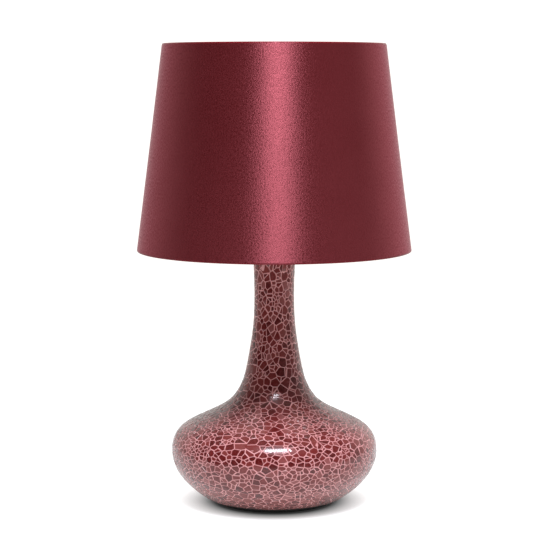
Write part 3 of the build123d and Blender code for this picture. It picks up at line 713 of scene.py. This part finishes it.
def add_shard(skin, seed, outline, draw, verts, faces):
    """Adds a bevelled slab that follows the glass: its middle, three rings and its back."""
    spot = skin.at(seed.up)
    count = len(outline)
    cx, cy = sum(x for x, y in outline) / count, sum(y for x, y in outline) / count
    reach = max(math.hypot(x - cx, y - cy) for x, y in outline)
    tilt_x, tilt_y = draw.gauss(0, SHARD_TILT), draw.gauss(0, SHARD_TILT)
    drop = draw.uniform(0.0, SHARD_DROP)

    def place(x, y, lift):
        rise = min(0.0, lift - drop + tilt_x * (x - cx) + tilt_y * (y - cy))
        across = seed.across + x * MM / spot.radius
        up = seed.up + y * MM * spot.stretch / spot.radius
        return skin.point(across, up, rise * MM)

    bevel = 1.0 - min(0.3, SHARD_BEVEL / max(reach, 0.5))
    middle = len(verts)
    verts.append(place(cx, cy, SHARD_MIDDLE))
    for share, lift in ((bevel, SHARD_TOP), (1.0, SHARD_EDGE), (1.0, SHARD_BACK)):
        verts += [place(cx + (x - cx) * share, cy + (y - cy) * share, lift) for x, y in outline]
    rings = [middle + 1 + i * count for i in range(3)]
    for j in range(count):
        n = (j + 1) % count
        faces.append((middle, rings[0] + j, rings[0] + n))
        for inner, outer in zip(rings, rings[1:]):
            faces.append((inner + j, outer + j, outer + n, inner + n))
    faces.append(tuple(rings[2] + j for j in reversed(range(count))))


def build_shards(skin):
    """All the shards as one piece, with a tone for each shard's colour."""
    draw = random.Random(7)
    verts, faces, tones = [], [], []
    for seed, walls, tone in shard_walls(skin, draw):
        outline = cut_shard(skin, seed, walls)
        if outline:
            add_shard(skin, seed, outline, draw, verts, faces)
            tones += [tone] * (len(faces) - len(tones))
    piece = new_piece("mosaic_shards", verts, faces)
    piece.data.attributes.new("tone", "FLOAT", "FACE").data.foreach_set("value", tones)
    piece.data.set_sharp_from_angle(angle=math.radians(24))
    dress(piece, shard_glass(), "stand", "mosaic_skin")


def build_grout(skin):
    """The bed under the shards: a closed skin just below their tops."""
    section = []
    upwards, downwards = range(0, MAP_SAMPLES, 5), range(MAP_SAMPLES - 1, -1, -5)
    for level, walk in ((GROUT_TOP, upwards), (GROUT_BACK, downwards)):
        for i in walk:
            size = math.hypot(skin.dr[i], skin.dz[i])
            out_r, out_z = skin.dz[i] / size, -skin.dr[i] / size
            section.append((float(skin.r[i] + level * out_r), float(skin.z[i] + level * out_z)))

    def uneven(radius, height, angle):
        bulge = GROUT_WAVES * wave(angle + 40 * height, seed=3, lowest=5, highest=30)
        return radius + bulge, height

    bed = ring_mesh("mosaic_grout", section, 360, uneven)
    dress(bed, grout(), "stand", "mosaic_skin")


# ---------------------------------------------------------------------------------------------
# Shade: satin cover, rolled hems and the back seam
# ---------------------------------------------------------------------------------------------
class ShadeCone:
    """The straight cone of the shade's cover, read from the frame."""

    def __init__(self):
        self.low, self.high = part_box("shade_fabric")
        co = np.array([v.co for v in nodes["shade_fabric"].data.vertices])
        radius = np.hypot(co[:, 0], co[:, 1])
        at_bottom = radius[co[:, 2] < self.low.z + 0.01 * MM]
        at_top = radius[co[:, 2] > self.high.z - 0.01 * MM]
        self.bottom, self.top = at_bottom.max(), at_top.max()
        self.thickness = at_bottom.max() - at_bottom.min()
        self.height = self.high.z - self.low.z

    def radius(self, z):
        """The outer radius at a height."""
        return self.bottom + (self.top - self.bottom) / self.height * (z - self.low.z)

    def ripple(self, radius, z, angle):
        """Small swells of the stretched cloth, none at its edges."""
        ease = math.sin(math.pi * min(1, max(0, (z - self.low.z) / self.height)))
        swell = 0.07 * wave(angle + 1.3 * z, seed=11, lowest=3, highest=12)
        swell += 0.03 * wave(angle - 9 * z, seed=12, lowest=6, highest=24)
        return radius + (swell - 0.12) * MM * ease, z


def build_cover(cone, cloth):
    rows = 48
    heights = [cone.low.z + cone.height * i / rows for i in range(rows + 1)]
    section = [(cone.radius(z), z) for z in heights]
    section += [(cone.radius(z) - cone.thickness, z) for z in reversed(heights)]
    cover = ring_mesh("shade_cover", section, 320, cone.ripple)
    cover.data.set_sharp_from_angle(angle=math.radians(40))
    dress(cover, cloth, "shade", "shade_fabric")
    return cover


def build_hem(cone, cloth, node, into, seed):
    """The cloth's edge: a lip outside, a rolled edge and a flap down the inside. into is 1 where
    the shade is above its edge and -1 where it is below."""
    low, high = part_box(node)
    edge, end = (low.z, high.z) if into > 0 else (high.z, low.z)
    lip = edge + into * 1.6 * HEM_LIP
    line = [(cone.radius(z), z) for z in (lip, edge + into * HEM_LIP)]
    quarter = [math.radians(18 * i) for i in range(6)]
    outer, inner = cone.radius(edge) - HEM_ROLL, cone.radius(edge) - HEM_DEPTH + HEM_ROLL
    for turn in quarter[1:]:
        line.append((outer + HEM_ROLL * math.cos(turn), edge + into * HEM_ROLL * (1 - math.sin(turn))))
    for turn in quarter:
        line.append((inner - HEM_ROLL * math.sin(turn), edge + into * HEM_ROLL * (1 - math.cos(turn))))
    flap, steps = edge + into * HEM_ROLL, 8
    for i in range(1, steps + 1):
        z = flap + (end - flap) * i / steps
        line.append((cone.radius(z) - HEM_DEPTH, z))

    def pucker(radius, z, angle):
        depth = min(1.0, abs(z - lip) / (6 * MM))
        fold = 0.10 * wave(angle, seed, lowest=30, highest=90) * depth
        swell = 0.05 * wave(angle, seed + 5, lowest=4, highest=22)
        return radius + (fold + swell - 0.12) * MM, z

    hem = ring_mesh(node + "_roll", offset_section(line, HEM_CLOTH, inward=-into), 420, pucker)
    dress(hem, cloth, "shade", node)
    return hem


def build_seam(cone, cloth):
    """The overlap at the back: a strip whose raised outside thins out to both edges."""
    low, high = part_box("shade_seam")
    rows, columns = 40, 14
    arc = 2 * math.atan2((high.x - low.x) / 2, cone.bottom)

    def lift(z, layer, share):
        if layer == 0:
            return -0.05 * MM
        edge = min(share, 1 - share) * columns
        return (0.26 * min(1.0, 0.45 + 0.55 * edge) + 0.02 * math.sin(z * 900 + share * 4)) * MM

    def at(row, layer, column):
        return (2 * row + layer) * (columns + 1) + column

    verts, faces = [], []
    for row in range(rows + 1):
        z = low.z + (high.z - low.z) * row / rows
        for layer in (0, 1):
            for share in [column / columns for column in range(columns + 1)]:
                angle = math.pi / 2 + arc * (share - 0.5)
                radius = cone.ripple(cone.radius(z), z, angle)[0] + lift(z, layer, share)
                verts.append((radius * math.cos(angle), radius * math.sin(angle), z))
    for i in range(rows):
        for j in range(columns):
            faces.append((at(i, 1, j + 1), at(i, 1, j), at(i + 1, 1, j), at(i + 1, 1, j + 1)))
            faces.append((at(i, 0, j), at(i, 0, j + 1), at(i + 1, 0, j + 1), at(i + 1, 0, j)))
        faces.append((at(i, 1, 0), at(i, 0, 0), at(i + 1, 0, 0), at(i + 1, 1, 0)))
        last = columns
        faces.append((at(i, 0, last), at(i, 1, last), at(i + 1, 1, last), at(i + 1, 0, last)))
    for j in range(columns):
        faces.append((at(0, 0, j), at(0, 1, j), at(0, 1, j + 1), at(0, 0, j + 1)))
        faces.append((at(rows, 0, j + 1), at(rows, 1, j + 1), at(rows, 1, j), at(rows, 0, j)))
    seam = new_piece("shade_back_seam", verts, faces)
    dress(seam, cloth, "shade", "shade_seam")
    return seam


def build_shade():
    """The satin cover, its two rolled hems and the back seam. The real cover is a sheet cut as the
    unrolled cone: a part of a ring from near to far.
    """
    cone = ShadeCone()
    cloth, folded_cloth = satin("satin", 1.0), satin("folded_satin", 0.25)
    cover = build_cover(cone, cloth)
    top = build_hem(cone, folded_cloth, "top_hem", into=-1, seed=21)
    bottom = build_hem(cone, folded_cloth, "bottom_hem", into=1, seed=22)
    seam = build_seam(cone, cloth)


# ---------------------------------------------------------------------------------------------
# Foot: felt pad and foam gasket, the two soft parts under the glass
# ---------------------------------------------------------------------------------------------
def soft_ring(name, node, material, inner, gap, edge, rough, seed):
    """A flat soft ring with rounded, slightly ragged edges and a gap on the +Y side for the
    cord. Its outside and thickness are the CAD's."""
    low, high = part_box(node)
    outer = high.x
    middle = low.z + (high.z - low.z) / 2
    half_gap = math.asin(gap / 2 / outer)
    draw = random.Random(seed)
    corner = 0.3 * edge
    rows = 14
    steps = [(outer - inner - 2 * edge) * i / rows for i in range(rows + 1)]
    section = [(inner + edge + step, low.z) for step in steps]
    section += [(outer - corner, low.z + corner), (outer, middle), (outer - corner, high.z - corner)]
    section += [(outer - edge - step, high.z) for step in steps]
    section += [(inner + corner, high.z - corner), (inner, middle), (inner + corner, low.z + corner)]

    def ragged(radius, height, angle):
        shift = draw.uniform(-rough, rough)
        lift = draw.uniform(0, rough) if height < low.z + 0.2 * MM else draw.uniform(-rough, 0)
        if not inner + edge < radius < outer - edge:
            shift = -abs(shift)
        return radius + shift, height + 0.5 * lift

    ring = ring_mesh(name, section, 260, ragged, math.pi / 2 + half_gap, TURN - 2 * half_gap)
    dress(ring, material, "stand", node)


# ---------------------------------------------------------------------------------------------
# Studio: a floor that glows white beyond the lamp and has a painted shadow under it, bright walls and
# one high softbox
# ---------------------------------------------------------------------------------------------
def studio_floor():
    """A disc that gives its own white light, dimmed under the lamp into a painted shadow. The light's
    ramp, which paints that shadow, runs over the first 0.2 m from the lamp's axis."""
    radius, sides = 0.62, 96
    s = Shader("floor_with_painted_shadow")
    distance = s.node("ShaderNodeVectorMath", {0: s.place()}, operation="LENGTH").outputs["Value"]
    # Painted shadow: the floor's glow is near zero within about 5 cm of the axis and full white from
    # about 7.6 cm out
    glow_with_painted_shadow = s.ramp(s.calc("MULTIPLY", distance, 5.0), [(0.24, 0.02), (0.31, 0.55), (0.38, 0.98)])
    s.set(
        Base_Color=(0.30, 0.31, 0.31),
        Roughness=0.75,
        Specular_IOR_Level=0.2,
        Emission_Color=glow_with_painted_shadow,
        Emission_Strength=1.0,
        Normal=s.bump(s.noise(300.0), 0.02, 0.1 * MM),
    )
    angles = [TURN * i / sides for i in range(sides)]
    rim = [(radius * math.cos(angle), radius * math.sin(angle), 0) for angle in angles]
    floor = new_piece("floor", rim, [tuple(range(sides))], smooth=False)
    floor.data.materials.append(s.material)


def surroundings():
    """White at the back and sides, dark behind the camera and a soft dome overhead. The camera
    itself sees plain white."""
    world = bpy.data.worlds.new("studio")
    world.use_nodes = True
    bpy.context.scene.world = world
    tree = world.node_tree
    add, link = tree.nodes.new, tree.links.new
    direction = add("ShaderNodeSeparateXYZ")
    link(add("ShaderNodeTexCoord").outputs["Generated"], direction.inputs[0])

    def rise(axis, start, end, low, high):
        """From low to high while the direction's part along an axis goes from start to end."""
        made = add("ShaderNodeMapRange")
        made.interpolation_type = "SMOOTHSTEP"
        values = {"From Min": start, "From Max": end, "To Min": low, "To Max": high}
        for key, value in values.items():
            made.inputs[key].default_value = value
        link(direction.outputs[axis], made.inputs["Value"])
        return made.outputs[0]

    def combine(operation, a, b):
        made = add("ShaderNodeMath")
        made.operation = operation
        for socket, value in zip(made.inputs, (a, b)):
            if isinstance(value, float):
                socket.default_value = value
            else:
                link(value, socket)
        return made.outputs[0]

    back = rise("Y", -0.35, 0.75, 0.05, 1.00)
    right_brighter = rise("X", -1.0, 1.0, 0.85, 1.15)
    darker_upwards = rise("Z", 0.35, 0.80, 1.0, 0.25)
    dome = rise("Z", 0.45, 0.95, 0.0, 0.34)
    right_side = rise("X", 0.2, 0.9, 0.0, 0.30)
    walls = combine("MULTIPLY", combine("MULTIPLY", back, right_brighter), darker_upwards)
    strength = combine("MAXIMUM", combine("MAXIMUM", walls, dome), right_side)
    seen = combine("MULTIPLY", add("ShaderNodeLightPath").outputs["Is Camera Ray"], 1.2)
    background = tree.nodes["Background"]
    background.inputs["Color"].default_value = (1.0, 0.96, 0.93, 1.0)
    link(combine("MAXIMUM", strength, seen), background.inputs["Strength"])


def softbox(azimuth, elevation, distance, width, height, radiance, aim):
    """A rectangular light. Azimuth is measured from the camera's side, to the right."""
    light = bpy.data.lights.new("softbox", "AREA")
    light.shape = "RECTANGLE"
    light.size = width
    light.size_y = height
    light.energy = radiance * math.pi * width * height
    light.color = (0.99, 0.98, 1.08)
    lamp = bpy.data.objects.new("softbox", light)
    bpy.context.scene.collection.objects.link(lamp)
    a, e = math.radians(azimuth), math.radians(elevation)
    way = Vector((math.sin(a) * math.cos(e), -math.cos(a) * math.cos(e), math.sin(e)))
    lamp.location = Vector(aim) + distance * way
    lamp.rotation_euler = way.to_track_quat("Z", "Y").to_euler()


def camera():
    """The photograph's viewing angle: 1.38 m in front, a little above, tilted down 6.5 degrees."""
    tilt = 0.1134
    data = bpy.data.cameras.new("camera")
    data.sensor_width = 36.0
    data.lens = 115.85
    data.clip_end = 50.0
    eye = bpy.data.objects.new("camera", data)
    bpy.context.scene.collection.objects.link(eye)
    eye.location = (0.0006, -1.3808, 0.3369)
    eye.rotation_euler = (math.pi / 2 - tilt, 0.0, 0.0)
    bpy.context.scene.camera = eye


# ---------------------------------------------------------------------------------------------
# Making it
# ---------------------------------------------------------------------------------------------
vessel = SkinMap(MAP_STRETCH)
build_shards(vessel)
build_grout(vessel)
build_shade()
soft_ring(
    "felt_ring", "felt_pad", felt(),
    inner=15.5 * MM, gap=7.2 * MM, edge=0.5 * MM, rough=0.10 * MM, seed=31,
)
soft_ring(
    "foam_ring", "foot_gasket", rubber("foam", (0.03, 0.03, 0.032)),
    inner=40.0 * MM, gap=9.6 * MM, edge=0.35 * MM, rough=0.05 * MM, seed=32,
)

black_enamel = enamel("black_enamel", (0.006, 0.006, 0.006), (0.014, 0.013, 0.012), 0.5)
white_enamel = enamel("white_enamel", (0.82, 0.80, 0.76), (0.66, 0.62, 0.55), 0.35)
phenolic = moulded("phenolic", (0.012, 0.010, 0.009), (0.030, 0.020, 0.014), 0.38)
fibre = moulded("vulcanised_fibre", (0.19, 0.085, 0.045), (0.26, 0.13, 0.07), 0.55)
black_glass = moulded("insulator_glass", (0.010, 0.010, 0.013), (0.035, 0.030, 0.040), 0.08)
brass = plated("brass", (0.72, 0.50, 0.20), (0.42, 0.25, 0.09), 0.22)
nickel = plated("nickel", (0.66, 0.63, 0.58), (0.40, 0.37, 0.33), 0.20)
zinc = plated("zinc_steel", (0.60, 0.60, 0.58), (0.34, 0.33, 0.31), 0.30)
thread = threaded("rolled_thread", (0.62, 0.61, 0.58), (0.24, 0.22, 0.20), 1.0 * MM)
vessel_glass = clear_glass("vessel_glass", (0.86, 0.90, 0.88), 0.25)
bulb_glass = clear_glass("bulb_clear_glass", (0.97, 0.985, 0.98), 0.06)

# Each row is a material and the CAD nodes that wear it
for material, *names in (
    (black_enamel, "base_plate"),
    (vessel_glass, "glass_vessel"),
    (thread, "threaded_tube"),
    (rubber("neck_rubber", (0.018, 0.018, 0.018)), "neck_seat"),
    (zinc, "foot_washer", "foot_lock_washer", "foot_nut", "set_screw"),
    (brass, "neck_cap", "neck_nut", "hub_bushing"),
    (brass, "centre_contact", "terminal_screw_line", "switch_blade", "switch_spindle"),
    (nickel, "terminal_screw_neutral", "shell_rivet", "screw_shell"),
    (nickel, "bulb_cap", "bulb_contact", "filament_wires"),
    (phenolic, "holder_cap", "holder_body", "switch_knob", "shade_ring"),
    (fibre, "switch_cheeks", "switch_cam"),
    (black_glass, "bulb_insulator"),
    (bulb_glass, "bulb_glass", "bulb_stem"),
    (phosphor(), "bulb_filaments"),
    (circuit_board(), "bulb_driver"),
    (lining(), "shade_liner"),
    (white_enamel, "top_ring", "bottom_ring", "fitter_plate"),
    (white_enamel, "spider_arm_1", "spider_arm_2", "spider_arm_3"),
):
    for name in names:
        mesh = nodes[name].data
        mesh.materials.clear()
        mesh.materials.append(material)
        mesh.polygons.foreach_set("use_smooth", [True] * len(mesh.polygons))
        mesh.set_sharp_from_angle(angle=math.radians(32))

studio_floor()
surroundings()
softbox(
    azimuth=4.5, elevation=60.2, distance=1.5,
    width=0.38, height=0.44, radiance=55.0, aim=(0, 0, 0.10),
)
camera()
bpy.context.scene.view_settings.view_transform = "Standard"
